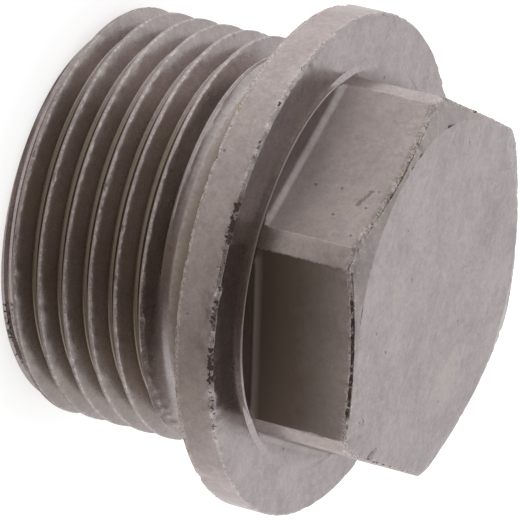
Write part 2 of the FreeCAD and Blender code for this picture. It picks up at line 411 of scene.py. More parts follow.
# %% [markdown]
# ## The shape round the axis
# Nearly all of the plug is turned, so its mesh is a set of rings: each ring gives a radius and a height in
# every one of a few hundred directions. The directions are even, apart from three at each edge of the
# hexagon's corner lands: one is moved onto the edge and its neighbours close beside it, so that the edge
# stays crisp.

# %% Directions round the axis
COLUMNS = 420
CORNERS = [math.radians(-90 + 60 * number) for number in range(6)]
LAND_HALF_ANGLE = math.radians(30) - math.acos(APOTHEM / HEAD_RADIUS)
EDGE_STEP = math.radians(0.35)


def column_angles():
    """Return the directions of the mesh's columns, in radians from +X."""
    angles = np.arange(COLUMNS) * (2 * math.pi / COLUMNS)
    for corner in CORNERS:
        for side in (-1, 1):
            land_edge = (corner + side * LAND_HALF_ANGLE) % (2 * math.pi)
            nearest = int(np.argmin(np.abs(angles - land_edge)))
            for shift in (-1, 0, 1):
                angles[nearest + shift] = land_edge + shift * EDGE_STEP
    return angles


def steady(value):
    """Return one value for every column."""
    return np.full(COLUMNS, value)


ANGLES = column_angles()
print("columns", COLUMNS, "corner land", round(math.degrees(2 * LAND_HALF_ANGLE), 2), "degrees wide")

# %% [markdown]
# ## Thread
# A thread can't be made of level rings: its crests climb one pitch in each turn. So its lines are tilted,
# and each follows the helix. Where a line would leave the shank at either end, it is held at that end, and
# the points that fall together there are merged later. The radius anywhere is the smaller of two: the
# thread's own profile, and the turned blank with its end chamfer and its shoulder at the neck. A soft
# minimum rounds the corners between them: the roots and crests a little, and the foot of the shoulder a lot,
# because the real one runs into the neck in one sweep.

# %% Thread profile and lines
LINE_PLACES = (0.0, 0.065, 0.09, 0.11, 0.14, 0.22, 0.36, 0.50, 0.61, 0.67)
EDGE_SOFTNESS = 0.012
ROOT_SOFTNESS = 0.048
CREST_SOFTNESS = 0.07
NECK_SOFTNESS = 0.7


def soft_min(first, second, softness=EDGE_SOFTNESS):
    """Return the smaller of two values, with the corner between them rounded off."""
    gap = np.clip(0.5 + 0.5 * (second - first) / softness, 0.0, 1.0)
    return second + (first - second) * gap - softness * gap * (1.0 - gap)


def from_crest(angle, height):
    """Return how far a point lies from the middle of the nearest crest, along the axis."""
    climb = PITCH * angle / (2 * math.pi)
    along = height - climb + THREAD_START_DROP - PITCH / 2
    return (along + PITCH / 2) % PITCH - PITCH / 2


def shank_radius(angle, height):
    """Return the radius of the threaded shank at a direction and a height."""
    down_flank = (np.abs(from_crest(angle, height)) - CREST_HALF) / math.tan(FLANK_ANGLE)
    root = THREAD_RADIUS - THREAD_DEPTH
    grooved = root + soft_min(THREAD_DEPTH - down_flank, THREAD_DEPTH, CREST_SOFTNESS)
    grooved = -soft_min(-grooved, -root, ROOT_SOFTNESS)
    chamfer = THREAD_RADIUS - END_CHAMFER + height
    shoulder = THREAD_RADIUS - (height - THREAD_END) / math.tan(FLANK_ANGLE)
    blank = np.minimum(chamfer, -soft_min(-shoulder, -NECK_RADIUS, NECK_SOFTNESS))
    return soft_min(grooved, blank)


def thread_grid():
    """Return angles, heights and radii of the thread's tilted lines, one row for each line."""
    below = [-place for place in LINE_PLACES[1:]]
    offsets = sorted(below + list(LINE_PLACES) + [PITCH / 2])
    first_crest = PITCH / 2 - THREAD_START_DROP
    turns = range(-2, int(NECK_FOOT / PITCH) + 2)
    lines = np.array([first_crest + turn * PITCH + offset for turn in turns for offset in offsets])
    angles = np.append(ANGLES, 2 * math.pi)
    angle_grid, line_grid = np.meshgrid(angles, lines)
    heights = np.clip(line_grid + PITCH * angle_grid / (2 * math.pi), 0.0, NECK_FOOT)
    return angle_grid, heights, shank_radius(angle_grid, heights)


thread_angles, thread_heights, thread_radii = thread_grid()
print("thread lines", thread_heights.shape[0], "root radius", round(float(thread_radii.min()), 3))

# %% [markdown]
# ## Turned rings
# From the neck to the ledge and from the bore to the end face, the section is a line with rounded corners.
# The helper walks along the corners, replaces each by a short curve where it is given a rounding, and adds
# points on long runs, so that knocks have something to move. Each point also says how strongly it belongs
# to an outer edge, from 0 to 1.

# %% Sections with rounded corners
CURVE_STEPS = 4
LONGEST_RUN = 0.45
LONGEST_RUN_INSIDE = 3.0


def corner_curve(before, corner, after, radius):
    """Return the points of a short curve that rounds one corner of a section."""
    incoming = (corner - before).normalized()
    outgoing = (after - corner).normalized()
    turn = incoming.angle(outgoing)
    reach = radius * math.tan(turn / 2)
    start = corner - incoming * reach
    finish = corner + outgoing * reach
    points = []
    for step in range(CURVE_STEPS + 1):
        share = step / CURVE_STEPS
        first = start.lerp(corner, share)
        second = corner.lerp(finish, share)
        points.append(first.lerp(second, share))
    return points


def section(corners, longest_run=LONGEST_RUN):
    """Return places and edge masks along a section.

    Each corner gives a radius, a height, a rounding and an edge mask.
    """
    points = []
    for index, (radius, height, rounding, mask) in enumerate(corners):
        here = Vector((radius, height))
        if rounding > 0:
            before = Vector(corners[index - 1][:2])
            after = Vector(corners[index + 1][:2])
            points += [(point, mask) for point in corner_curve(before, here, after, rounding)]
        else:
            points.append((here, mask))
    filled = [points[0]]
    for (start, start_mask), (finish, finish_mask) in zip(points, points[1:]):
        pieces = max(1, math.ceil((finish - start).length / longest_run))
        for piece in range(1, pieces):
            filled.append((start.lerp(finish, piece / pieces), 0.0))
        filled.append((finish, finish_mask))
    return filled


NECK_AND_COLLAR = section([
    (NECK_RADIUS, NECK_FOOT, 0.0, 0.0),
    (NECK_RADIUS, NECK_FOOT + 0.2, 0.0, 0.0),
    (NECK_RADIUS, NECK_FOOT + 0.4, 0.0, 0.0),
    (NECK_RADIUS, COLLAR_BACK - NECK_BEVEL, 0.5, 0.0),
    (NECK_RADIUS + NECK_BEVEL, COLLAR_BACK, 0.5, 0.0),
    (COLLAR_RADIUS - BACK_EDGE - 0.2, COLLAR_BACK, 0.0, 0.0),
    (COLLAR_RADIUS - BACK_EDGE, COLLAR_BACK, 0.0, 0.9),
    (COLLAR_RADIUS, COLLAR_BACK + BACK_EDGE, 0.0, 1.0),
    (COLLAR_RADIUS, COLLAR_BACK + BACK_EDGE + 0.15, 0.0, 1.0),
    (COLLAR_RADIUS, COLLAR_BACK + BACK_EDGE + 0.35, 0.0, 0.3),
    (COLLAR_RADIUS, COLLAR_FRONT - COLLAR_EDGE - 0.3, 0.0, 0.45),
    (COLLAR_RADIUS, COLLAR_FRONT - COLLAR_EDGE, 0.08, 1.0),
    (COLLAR_RADIUS - COLLAR_EDGE, COLLAR_FRONT, 0.08, 0.7),
    (COLLAR_RADIUS - COLLAR_EDGE - 0.2, COLLAR_FRONT, 0.0, 0.0),
    (LEDGE_RADIUS, COLLAR_FRONT, 0.0, 0.0),
    (LEDGE_RADIUS, LEDGE_TOP, 0.09, 0.0),
    (HEAD_RADIUS, LEDGE_TOP, 0.0, 0.0),
])
END_AND_BORE = section([
    (0.0, MAGNET_TOP, 0.0, 0.0),
    (BORE_RADIUS, MAGNET_TOP, 0.0, 0.0),
    (BORE_RADIUS, BORE_MOUTH_CHAMFER, 0.08, 0.3),
    (BORE_RADIUS + BORE_MOUTH_CHAMFER, 0.0, 0.08, 0.6),
    (THREAD_RADIUS - END_CHAMFER - 0.5, 0.0, 0.0, 0.0),
], LONGEST_RUN_INSIDE)
print("neck and collar rings", len(NECK_AND_COLLAR), "end and bore rings", len(END_AND_BORE))

# %% [markdown]
# ## Hexagon head
# The flats are cut into a round head by a cutter with a rounded corner. In each direction, a flat that
# stands a distance d from the axis is met at d / cos of the angle to its middle, but never further out than
# the round head, which leaves the narrow lands at the corners. The top is a shallow cone that ends in the
# round face, so the flats end in arcs and the corners are lower than the middles.

# %% Head rings
ROOT_STEPS = 6
WALL_SHARES = (0.12, 0.25, 0.38, 0.51, 0.64, 0.77, 0.87, 0.94, 0.98, 1.0)
CONE_SHARES = (0.06, 0.3, 0.55, 0.8, 1.0)
RIM_TURNS = (0.35, 0.7, 1.0)
RIM_BREAK = 0.09
RIM_MASK_START = 0.87
RIM_MASK_RISE = 10
CONE_EDGE = 0.95
CONE_EDGE_DROP = 0.33
LAND_SOFTNESS = 0.015
FACE_LINE = 0.003
FACE_RINGS = 8

SIXTH = math.radians(60)
TO_FLAT = (ANGLES + SIXTH / 2) % SIXTH - SIXTH / 2
FLAT_COSINE = np.cos(TO_FLAT)


def milled(distance):
    """Return the radius in each direction of a flat at a distance from the axis, inside the round head."""
    return soft_min(distance / FLAT_COSINE, steady(HEAD_RADIUS), LAND_SOFTNESS)


def cone_height(radius):
    """Return the height of the head's shallow cone at a radius."""
    return HEAD_TOP - np.maximum(radius - FACE_RADIUS, 0.0) * math.tan(FACE_CHAMFER_ANGLE)


def head_rings():
    """Return the rings of the head, each as a radius and a height for each column and an edge mask."""
    rings = []
    for step in range(ROOT_STEPS + 1):
        turn = math.radians(90) * step / ROOT_STEPS
        distance = APOTHEM + FLAT_ROOT_RADIUS * (1 - math.sin(turn))
        height = LEDGE_TOP + FLAT_ROOT_RADIUS * (1 - math.cos(turn))
        rings.append((milled(distance), steady(height), 0.0))
    wall = milled(APOTHEM)
    wall_foot = LEDGE_TOP + FLAT_ROOT_RADIUS
    wall_top = cone_height(wall) - RIM_BREAK
    for share in WALL_SHARES:
        mask = min(1.0, max(0.0, share - RIM_MASK_START) * RIM_MASK_RISE)
        rings.append((wall, wall_foot + (wall_top - wall_foot) * share, mask))
    for turn in RIM_TURNS:
        inset = RIM_BREAK * turn
        radius = wall - inset * turn
        rise = RIM_BREAK * (1 - (1 - turn) ** 2) * 0.9
        rings.append((radius, np.minimum(wall_top + rise, cone_height(radius)), 1.0))
    rim = wall - RIM_BREAK
    for share in CONE_SHARES:
        radius = rim + (FACE_RADIUS - rim) * share
        mask = CONE_EDGE - CONE_EDGE_DROP * min(1.0, share * 3)
        rings.append((radius, cone_height(radius), mask))
    for share in [FACE_LINE] + list(np.linspace(0, 1, FACE_RINGS + 1)[1:-1]):
        rings.append((steady(FACE_RADIUS * (1 - share)), steady(HEAD_TOP), 0.0))
    return rings


HEAD_RINGS = head_rings()
print("head rings", len(HEAD_RINGS), "corner height", round(float(cone_height(HEAD_RADIUS)), 2))

# %% [markdown]
# ## Knocks and marks
# A tumbled plug has no perfect edge. Points near an edge are moved into the metal a little, by smooth noise
# for the general raggedness and by a second noise, of which only the peaks count, for single dents. It all
# goes into the metal, so the plug never grows past its real size. Black marks sit where spanners and
# stones have bitten: along the collar's front edge, along the edge between the flats and the face, and at
# the threaded end. A mark is given by the direction of its middle and half its width, both in degrees, and
# by its strength.

# %% Knocks and marks
COLLAR_MARKS = (
    (-91.0, 6.5, 1.0),
    (-80.0, 5.0, 0.75),
    (-72.0, 6.0, 0.85),
    (-63.0, 4.0, 0.70),
    (-58.5, 6.0, 1.0),
    (-50.0, 6.0, 0.82),
    (-42.0, 8.0, 0.70),
    (-27.0, 8.0, 0.60),
    (62.0, 5.0, 0.80),
    (-122.0, 22.0, 0.64),
    (148.0, 8.0, 0.65),
    (-170.0, 14.0, 0.60),
)
FACE_MARKS = (
    (-60.0, 27.0, 1.0),
    (-120.0, 27.0, 0.68),
    (0.0, 25.0, 0.75),
    (60.0, 24.0, 0.60),
    (120.0, 26.0, 0.80),
    (180.0, 25.0, 0.65),
)
END_MARKS = (
    (-165.0, 14.0, 0.75),
    (-80.0, 20.0, 0.57),
    (-38.0, 18.0, 0.75),
)


def ragged_depth(point, size, deepest):
    """Return a depth between 0 and the deepest for a point, from the peaks of two noises."""
    fine = noise.noise(point * (1 / size))
    dents = max(0.0, noise.noise(point * (0.45 / size) + Vector((7.1, 3.3, 1.9))) - 0.35)
    return deepest * min(1.0, max(0.0, fine) * 0.35 + dents * 2.2)


def marked(angle, marks):
    """Return how strongly marks, each a middle, half a width and a strength, cover a direction."""
    strength = 0.0
    for middle, half, peak in marks:
        away = (math.degrees(angle) - middle + 180) % 360 - 180
        strength = max(strength, peak * min(1.0, 2 * max(0.0, 1 - (away / half) ** 2)))
    return strength


print("marks on the collar", len(COLLAR_MARKS), "face", len(FACE_MARKS), "threaded end", len(END_MARKS))

# %% [markdown]
# ## Ledge under the flats
# The cutter stopped just above the collar, so a thin round ledge is left under the flats. It isn't the same
# all round. Beside the darkest flat it is rubbed round and stands out a little more. On the side away from
# the camera it is drawn in, and its foot runs out over the collar in a slope. Three arrays, with one value
# for each column, say where each of these holds, and every ring of the ledge is changed by them.

# %% Ledge
LEDGE_RUBBED_SIDE = (-62.0, 40.0, 1.0)
LEDGE_ROUNDER = 0.7
LEDGE_SHARPER = 0.9
LEDGE_BULGE = 0.06
LEDGE_DRAW_IN = 0.12
LEDGE_FLARE = 0.22
FLARE_BEHIND = 2.2
CAMERA_SIDE = math.radians(-90)
AWAY_START = 0.643
AWAY_FADE = 0.11
BEHIND_START = 0.1
BEHIND_FADE = 0.2

TO_CAMERA = np.cos(ANGLES - CAMERA_SIDE)
LEDGE_AWAY = np.clip((AWAY_START - TO_CAMERA) / AWAY_FADE, 0.0, 1.0)
LEDGE_SEEN = np.clip((TO_CAMERA - BEHIND_START) / BEHIND_FADE, 0.0, 1.0)
LEDGE_RUBBED = np.array([marked(angle, (LEDGE_RUBBED_SIDE,)) for angle in ANGLES]) * (1 - LEDGE_AWAY)


def ledge_ring(place):
    """Return the radius and height of one ring of the ledge in each direction."""
    scale = 1 + LEDGE_ROUNDER * LEDGE_RUBBED - LEDGE_SHARPER * LEDGE_AWAY
    radii = LEDGE_RADIUS + (place.x - LEDGE_RADIUS) * scale
    radii += LEDGE_BULGE * LEDGE_RUBBED - LEDGE_DRAW_IN * LEDGE_AWAY
    if place.y < COLLAR_FRONT + 0.01:
        flare = LEDGE_FLARE * LEDGE_AWAY * (FLARE_BEHIND + (1.0 - FLARE_BEHIND) * LEDGE_SEEN)
        return radii + flare, steady(COLLAR_FRONT)
    return radii, LEDGE_TOP + (place.y - LEDGE_TOP) * scale


print("ledge drawn in on", int((LEDGE_AWAY > 0.5).sum()), "of", COLUMNS, "columns")

# %% [markdown]
# ## Oil film and painted shade
# A thin oil film lies on the back of the collar. The neck carries oil and painted shade, most of all in its
# corner with the collar, and less on the far side. Painted shade lies in the corner between collar and head,
# low on the flats, on one side of the ledge and at the feet of the corner lands, which are otherwise clear.
# Each flat has a different amount. One side of the shallow cone and of the rim under it is darker and browner
# as well. A side is given as a mark is: a middle, half a width and a strength.

# %% Film and painted shade in the corners
# Oil and painted shade on the neck; painted shade in the head's corner and on one side of the ledge.
NECK_OIL_AND_SHADE_LEAST = 0.5
NECK_OIL_AND_SHADE_MOST = 1.2
NECK_OIL_AND_SHADE_REACH = 2.15
NECK_SHADED_SIDE = (-90.0, 130.0, 0.6)
BACK_FILM = 0.2
HEAD_CORNER_SHADE = (-90.0, 45.0, 0.2)
HEAD_CORNER_SHADE_REACH = 0.9
LEDGE_SHADE = (-100.0, 45.0, 0.7)
LEDGE_TOP_SHARE = 0.5


def neck_oil_and_shade(angle, radius, height):
    """Return the oil and painted shade on the neck: more near the collar, and less on the far side."""
    from_corner = math.hypot(radius - NECK_RADIUS, height - COLLAR_BACK)
    share = min(1.0, max(0.0, NECK_OIL_AND_SHADE_REACH - from_corner) * 2.2)
    side = 1.0 - NECK_SHADED_SIDE[2] + marked(angle, (NECK_SHADED_SIDE,))
    return side * (NECK_OIL_AND_SHADE_LEAST + (NECK_OIL_AND_SHADE_MOST - NECK_OIL_AND_SHADE_LEAST) * share)


def corner_oil_and_shade(angle, radius, height):
    """Return the oil film and painted shade at a point of the neck, the collar or the ledge."""
    if height < COLLAR_BACK + 0.1:
        on_back = radius > NECK_RADIUS + NECK_BEVEL + 0.1
        return BACK_FILM if on_back else neck_oil_and_shade(angle, radius, height)
    if height > COLLAR_FRONT + 0.1:
        return marked(angle, (LEDGE_SHADE,))
    from_head = math.hypot(radius - HEAD_RADIUS, height - COLLAR_FRONT)
    return marked(angle, (HEAD_CORNER_SHADE,)) * max(0.0, 1 - from_head / HEAD_CORNER_SHADE_REACH)


print("film on the neck", NECK_OIL_AND_SHADE_LEAST, "to", NECK_OIL_AND_SHADE_MOST)

# %% [markdown]
# ## Painted shade on the hexagon
# The six amounts below are of painted shade on the flats in turn, anticlockwise from the one that faces +X.
# On each flat the painted shade is full at the foot and fades towards the rim. A column of the mesh is either
# on a flat or on one of the lands, which tells the shade on the flats from that on the lands. The cone and the
# rim have amounts of their own, which make one side of them darker and browner.

# %% Painted shade on the hexagon
# Painted shade low on each flat and at the feet of the corner lands.
FLAT_SHADE = (0.05, 0.8, 0.6, 0.7, 0.5, 2.0)
FLAT_SHADE_HEIGHT = 5.6
LAND_FOOT_SHADE_LEAST = 0.1
LAND_FOOT_SHADE = (-90.0, 20.0, 0.55)
LAND_FOOT_SHADE_HEIGHT = 1.4
# One side of the cone and of the rim under it is darker and browner.
CONE_DARKENING = (-125.0, 55.0, 0.35)
RIM_DARKENING = (-125.0, 40.0, 1.3)
RIM_DARKENING_REACH = 0.35


def on_land(column):
    """Return whether a column of the mesh lies on a corner land."""
    return abs(TO_FLAT[column]) > SIXTH / 2 - LAND_HALF_ANGLE


def wall_shade(column, height):
    """Return the painted shade at the foot and on the wall of the hexagon, in one column of the mesh."""
    above = height - LEDGE_TOP
    if on_land(column):
        film_and_shade = LAND_FOOT_SHADE_LEAST + marked(ANGLES[column], (LAND_FOOT_SHADE,))
        return film_and_shade * max(0.0, 1 - above / LAND_FOOT_SHADE_HEIGHT)
    flat = round(math.degrees(ANGLES[column]) / 60) % 6
    if above < 0.01:
        return FLAT_SHADE[flat] * LEDGE_TOP_SHARE
    return FLAT_SHADE[flat] * max(0.0, 1 - (above / FLAT_SHADE_HEIGHT) ** 2)


def head_darkening(column, radius, height, below):
    """Return how much a point of the head is darkened, given also how far it lies below the rim."""
    angle = ANGLES[column]
    if radius > FACE_RADIUS - 0.01 and height > cone_height(radius) - 0.03:
        return marked(angle, (CONE_DARKENING,))
    film_and_shade = wall_shade(column, height) if radius > FACE_RADIUS + 0.01 else 0.0
    if radius * FLAT_COSINE[column] > APOTHEM - 0.1:
        film_and_shade = max(film_and_shade, marked(angle, (RIM_DARKENING,)) * max(0.0, 1 - below / RIM_DARKENING_REACH))
    return film_and_shade


print("film on the flats", FLAT_SHADE, "columns on lands", sum(on_land(column) for column in range(COLUMNS)))

# %% [markdown]
# ## Points, rings and grids
# A small class holds the mesh while it grows. It adds single points with their masks, adds rings whose edges
# are knocked about, and fills the faces between rows of points. A knock has to go into the metal, so it
# lifts the points from the threaded end to the collar's back edge and lowers those above, and it moves all
# points towards the axis apart from those at the bore's mouth.


# %% Skin of points and faces
MASKS = ("edge", "crest", "grime", "oiled", "milled")
KNOCK_SIZE = 0.32
KNOCK_DEPTH = 0.15
MARK_DEPTH = 0.09


class Skin:
    """Points and faces of the plug, with the masks that its steel reads."""

    def __init__(self):
        self.mesh = bmesh.new()
        self.layers = {name: self.mesh.verts.layers.float.new(name) for name in MASKS}

    def point(self, angle, radius, height, masks):
        """Add one point, given in millimetres, and paint its masks."""
        place = (radius * math.cos(angle) * MM, radius * math.sin(angle) * MM, height * MM)
        vertex = self.mesh.verts.new(place)
        for name, value in masks.items():
            vertex[self.layers[name]] = value
        return vertex

    def ring(self, radii, heights, edge, masks_at):
        """Add one closed ring, with its edge knocked about, and return its points."""
        points = []
        for column, (angle, radius, height) in enumerate(zip(ANGLES, radii, heights)):
            masks = masks_at(column, radius, height, edge)
            place = Vector((radius * math.cos(angle), radius * math.sin(angle), height))
            depth = ragged_depth(place, KNOCK_SIZE, KNOCK_DEPTH) * masks["edge"]
            depth += masks["grime"] * MARK_DEPTH * max(0.0, 0.5 + noise.noise(place * 2.5))
            lift = depth if height < COLLAR_BACK + 0.5 else -depth
            widen = depth if height < BORE_MOUTH_CHAMFER + 0.1 else -depth
            points.append(self.point(angle, radius + widen, height + lift, masks))
        return points + points[:1]

    def join(self, rows):
        """Fill the faces between rows of points that have equal lengths."""
        for lower, upper in zip(rows, rows[1:]):
            for index in range(len(lower) - 1):
                self.mesh.faces.new((lower[index], lower[index + 1], upper[index + 1], upper[index]))

    def close(self, row, height, masks):
        """Close a disc with a fan of triangles from its middle."""
        middle = self.point(0.0, 0.0, height, masks)
        for first, second in zip(row, row[1:]):
            self.mesh.faces.new((middle, first, second))


print("painted masks", MASKS)

# %% [markdown]
# ## Masks of the turned and milled parts
# Each point of a ring asks here for its masks. Marks on the collar fade with the distance from its front
# edge. On the head, only the outermost points of the rim take marks, and the edges of the lands are outer
# edges too, which lightens them as wear and painted highlight.

# %% Masks of the rings
MARK_CORE = 1.15
MARK_REACH = 0.75
FACE_MARK_DROP = 0.12
RIM_EDGE = 0.93
# Land edges are lightened, as wear and painted highlight.
LAND_EDGE = 1.0
LAND_EDGE_REACH = 1.8 * EDGE_STEP
BORE_FILM = 0.5
END_FILM = 0.15


def turned_masks(column, radius, height, edge):
    """Return the masks of a point on the neck or the collar."""
    from_edge = math.hypot(radius - COLLAR_RADIUS, height - COLLAR_FRONT)
    reach = max(0.0, MARK_CORE - from_edge / MARK_REACH)
    grime = min(1.0, marked(ANGLES[column], COLLAR_MARKS) * reach)
    return {"edge": edge, "grime": grime, "oiled": corner_oil_and_shade(ANGLES[column], radius, height)}


def head_masks(column, radius, height, edge):
    """Return the masks of a point on the head."""
    below = max(0.0, cone_height(radius) - RIM_BREAK - height)
    at_rim = float(edge > RIM_EDGE) * max(0.0, 1 - below / FACE_MARK_DROP)
    grime = marked(ANGLES[column], FACE_MARKS) * at_rim
    to_land_edge = abs(SIXTH / 2 - LAND_HALF_ANGLE - abs(TO_FLAT[column]))
    if radius > APOTHEM - 0.01 and height > LEDGE_TOP:
        edge = max(edge, LAND_EDGE * max(0.0, 1 - to_land_edge / LAND_EDGE_REACH))
    on_flat = radius * FLAT_COSINE[column] > APOTHEM - 0.02 and not on_land(column)
    film_and_shade = head_darkening(column, radius, height, below)
    return {"edge": edge, "grime": grime, "milled": float(on_flat), "oiled": film_and_shade}


def end_masks(column, radius, height, edge):
    """Return the masks of a point on the end face or in the bore."""
    in_bore = height > BORE_MOUTH_CHAMFER + 0.1
    return {"edge": edge, "grime": 0.0, "oiled": BORE_FILM if in_bore else END_FILM}


print("marks reach", round(MARK_REACH * MARK_CORE, 2), "mm from the collar's edge")

# %% [markdown]
# ## Points of the thread
# The thread's points aren't on rings, so they are knocked about by themselves. Crests get shallow dents and
# sway a little along the axis, more on the side towards the head. Oil lies thinly on the thread, and painted
# shade darkens the flanks and more the roots, most on one side of the plug. The end chamfer counts as an edge
# and carries marks, and its edge mask lightens it as wear and painted highlight.

# %% Points of the thread
CREST_LEAN = 0.04
CREST_FADE = 0.05
CREST_KNOCK_SIZE = 0.3
CREST_KNOCK_DEPTH = 0.10
CREST_SWAY = 0.045
THREAD_FILM = 0.05
# Painted shade in the grooves, deepest in the roots and on one side of the plug.
GROOVE_SHADE_LEAST = 0.16
GROOVE_SHADED_SIDE = (-64.0, 66.0, 0.50)
CHAMFER_EDGE = 0.75
CHAMFER_FILM = 0.1


def thread_oil_and_shade(angle, height, beside):
    """Return the oil and painted shade at a point of the thread, by its distance beside the nearest crest."""
    film_and_shade = GROOVE_SHADE_LEAST + marked(angle, (GROOVE_SHADED_SIDE,))
    deep = max(0.0, abs(beside) - CREST_HALF) / (PITCH / 2 - CREST_HALF - ROOT_HALF)
    on_flank = min(1.0, deep * 8) * film_and_shade
    in_root = max(0.0, min(deep, 1.2) - 0.7) * 1.8 * film_and_shade
    in_thread = 1.0 - min(1.0, max(0.0, height - THREAD_END + 0.25) / 0.3)
    return THREAD_FILM + (on_flank + in_root) * in_thread


def thread_point(skin, angle, height, radius):
    """Add one point of the thread, knocked about if it lies on a crest."""
    beside = float(from_crest(angle, height))
    crest = max(0.0, min(1.0, (CREST_HALF + 0.02 - abs(beside - CREST_LEAN)) / CREST_FADE))
    masks = {"crest": crest, "edge": 0.0, "oiled": 0.0}
    if not 0.02 < height < NECK_FOOT - 0.02:
        return skin.point(angle, radius, height, masks)
    if crest > 0:
        place = Vector((radius * math.cos(angle), radius * math.sin(angle), height))
        radius -= crest * ragged_depth(place, CREST_KNOCK_SIZE, CREST_KNOCK_DEPTH)
        sway = CREST_SWAY * noise.noise(place * 2.3)
        height = max(0.01, height + sway * (1.0 if beside > 0 else 0.5))
    masks["oiled"] = thread_oil_and_shade(angle, height, beside)
    if height < END_CHAMFER + 0.1:
        # The chamfer's edge mask lightens it, as wear and painted highlight.
        masks["edge"] = CHAMFER_EDGE
        masks["oiled"] = CHAMFER_FILM
        masks["grime"] = marked(angle, END_MARKS)
    return skin.point(angle, radius, height, masks)


def add_thread(skin):
    """Add the tilted lines of the thread and fill the faces between them."""
    rows = []
    for angles, heights, radii in zip(thread_angles, thread_heights, thread_radii):
        rows.append([thread_point(skin, *values) for values in zip(angles, heights, radii)])
    skin.join(rows)


print("thread points", thread_heights.size)

# %% [markdown]
# ## One skin
# The thread, the bore with the end face, and everything from the neck to the head's face are three grids of
# faces. Where two of them meet, their points lie on the same places, so a merge makes them one closed skin.
# It also drops the faces that the held thread lines left without area. The count of open edges has to be 0.


# %% Join the grids
def add_end_and_bore(skin):
    """Add the bore down to the magnet's top and the ring-shaped end face."""
    rows = []
    for place, mask in END_AND_BORE[1:]:
        rows.append(skin.ring(steady(place.x), steady(place.y), mask, end_masks))
    rows.append(skin.ring(shank_radius(ANGLES, steady(0.0)), steady(0.0), 0.0, end_masks))
    skin.join(rows)
    skin.close(rows[0], MAGNET_TOP, {"oiled": BORE_FILM})


def add_neck_to_face(skin):
    """Add the neck, the collar, the ledge and the head."""
    rows = []
    for place, mask in NECK_AND_COLLAR:
        radii, heights = steady(place.x), steady(place.y)
        if HEAD_RADIUS + 0.01 < place.x < LEDGE_RADIUS + 0.001:
            radii, heights = ledge_ring(place)
        rows.append(skin.ring(radii, heights, mask, turned_masks))
    for radii, heights, mask in HEAD_RINGS:
        rows.append(skin.ring(radii, heights, mask, head_masks))
    skin.join(rows)
    skin.close(rows[-1], HEAD_TOP, {"oiled": 0.0})


def build_skin():
    """Build the plug's closed skin and return it as mesh data."""
    skin = Skin()
    add_thread(skin)
    add_end_and_bore(skin)
    add_neck_to_face(skin)
    together = 0.001 * MM
    bmesh.ops.remove_doubles(skin.mesh, verts=skin.mesh.verts, dist=together)
    bmesh.ops.dissolve_degenerate(skin.mesh, edges=skin.mesh.edges, dist=together)
    bmesh.ops.recalc_face_normals(skin.mesh, faces=skin.mesh.faces)
    open_edges = sum(1 for edge in skin.mesh.edges if not edge.is_manifold)
    triangles = sum(len(face.verts) - 2 for face in skin.mesh.faces)
    print("plug triangles", triangles, "open edges", open_edges)
    data = bpy.data.meshes.new("plug_skin")
    skin.mesh.to_mesh(data)
    skin.mesh.free()
    return data


SKIN_DATA = build_skin()

# %% [markdown]
# ## Shading of the skin
# Smooth shading bends the light across corners that should stay sharp, so edges with a turn of more than 20
# degrees are marked as sharp. The circle where the cone meets the face turns by less, and is marked by its
# place. A weighted normal then lets the large faces decide, which keeps the flats flat. The object rides on
# the plug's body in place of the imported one.

# %% Shade the skin and put it in place
SHARP_TURN = math.radians(20)
ON_CIRCLE = 0.002


def on_face_circle(point):
    """Return whether a point, in millimetres, lies on the circle round the head's face."""
    return abs(point.xy.length - FACE_RADIUS) < ON_CIRCLE and point.z > HEAD_TOP - ON_CIRCLE


def shade_plug(data):
    """Shade the plug's mesh and return it as an object."""
    data.shade_smooth()
    data.set_sharp_from_angle(angle=SHARP_TURN)
    for edge in data.edges:
        if all(on_face_circle(data.vertices[number].co / MM) for number in edge.vertices):
            edge.use_edge_sharp = True
    plug = bpy.data.objects.new("plug_skin", data)
    bpy.context.scene.collection.objects.link(plug)
    even = plug.modifiers.new("even_shading", "WEIGHTED_NORMAL")
    even.keep_sharp = True
    even.weight = 90
    return plug


plug = shade_plug(SKIN_DATA)
plug.data.materials.append(STEEL)
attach(plug, "root")
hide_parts("plug_body")
print("plug points", len(plug.data.vertices))

# %% [markdown]
# ## Floor
# The floor is a plain pale plane under the standing plug. It shows close to white to the camera and in the
# metal's reflections, and still takes the plug's soft shadow, because about half of its white is real paint
# and only the rest is added glow.

# %% Floor
FLOOR_HALF = 1.5
FLOOR_PAINT = (0.62, 0.62, 0.62, 1.0)
FLOOR_GLOW = 0.62


def floor_paint():
    """Make a matt white paint that shows nearly white to the camera and in reflections."""
    material, wire, output = start_material("floor_paint")
    place = wire.node("ShaderNodeTexCoord", output=3)
    faint = noise_at(place, 30.0, 2.0)
    seen = wire.node("ShaderNodeLightPath", output="Is Camera Ray")
    mirrored = wire.node("ShaderNodeLightPath", output="Is Glossy Ray")
    through = wire.node("ShaderNodeLightPath", output="Is Transmission Ray")
    glow = seen.at_least(mirrored).at_least(through) * FLOOR_GLOW
    paint = wire.node("ShaderNodeBsdfDiffuse", None, {"Color": FLOOR_PAINT, "Roughness": faint * 0.2})
    light = wire.node("ShaderNodeEmission", None, {"Color": (1, 1, 1, 1), "Strength": glow})
    shader = wire.node("ShaderNodeAddShader", None, {0: paint, 1: light})
    finish_material(wire, output, shader)
    return material


def level_card(name, half, material):
    """Make a level square card on the ground as a part of the studio."""
    data = bpy.data.meshes.new(name)
    corners = [(-half, -half, 0), (half, -half, 0), (half, half, 0), (-half, half, 0)]
    data.from_pydata(corners, [], [(0, 1, 2, 3)])
    data.materials.append(material)
    card = bpy.data.objects.new(name, data)
    bpy.context.scene.collection.objects.link(card)
    return card


floor = level_card("floor", FLOOR_HALF, floor_paint())
print(floor.name, "side", 2 * FLOOR_HALF, "m")

